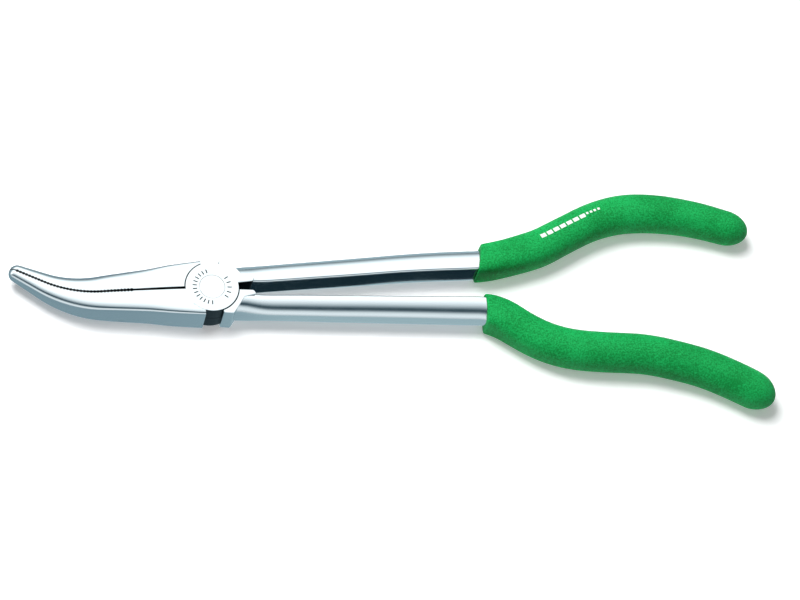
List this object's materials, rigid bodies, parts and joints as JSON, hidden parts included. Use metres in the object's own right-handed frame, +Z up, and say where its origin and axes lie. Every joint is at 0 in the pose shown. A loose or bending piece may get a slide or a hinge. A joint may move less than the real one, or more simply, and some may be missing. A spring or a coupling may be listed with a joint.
{
  "type": "long reach bent nose pliers",
  "caption": "Long-reach bent-nose pliers with a riveted lap joint, slim D-section shanks and dipped grips; jaws close along a curved slit to grip small parts.",
  "frame": {"origin": "on the pivot axis, at the flush underside of the rivet, the plane that the closed tool lies on", "axes": "+X from the pivot towards the grips, +Z up through the head's thickness along the pivot axis, +Y towards the side that the nose bends to"},
  "size_m": [0.2799, 0.0891, 0.0128],
  "materials": {
    "plated_steel": "drop-forged steel, ground, polished and nickel-chrome plated",
    "rivet_steel": "steel rivet ground flush with the head",
    "green_vinyl": "dipped plastic with a fine matt grain"
  },
  "bodies": {
    "back_lever": {"back_half": "plated_steel", "back_grip": "green_vinyl", "pivot_rivet": "rivet_steel"},
    "front_lever": {"front_half": "plated_steel", "front_grip": "green_vinyl"}
  },
  "joints": [
    {"name": "plier_pivot", "type": "hinge", "parent": "back_lever", "child": "front_lever", "pos_m": [0, 0, 0], "axis": [0, 0, 1], "range_deg": [-0.15, 32]}
  ]
}
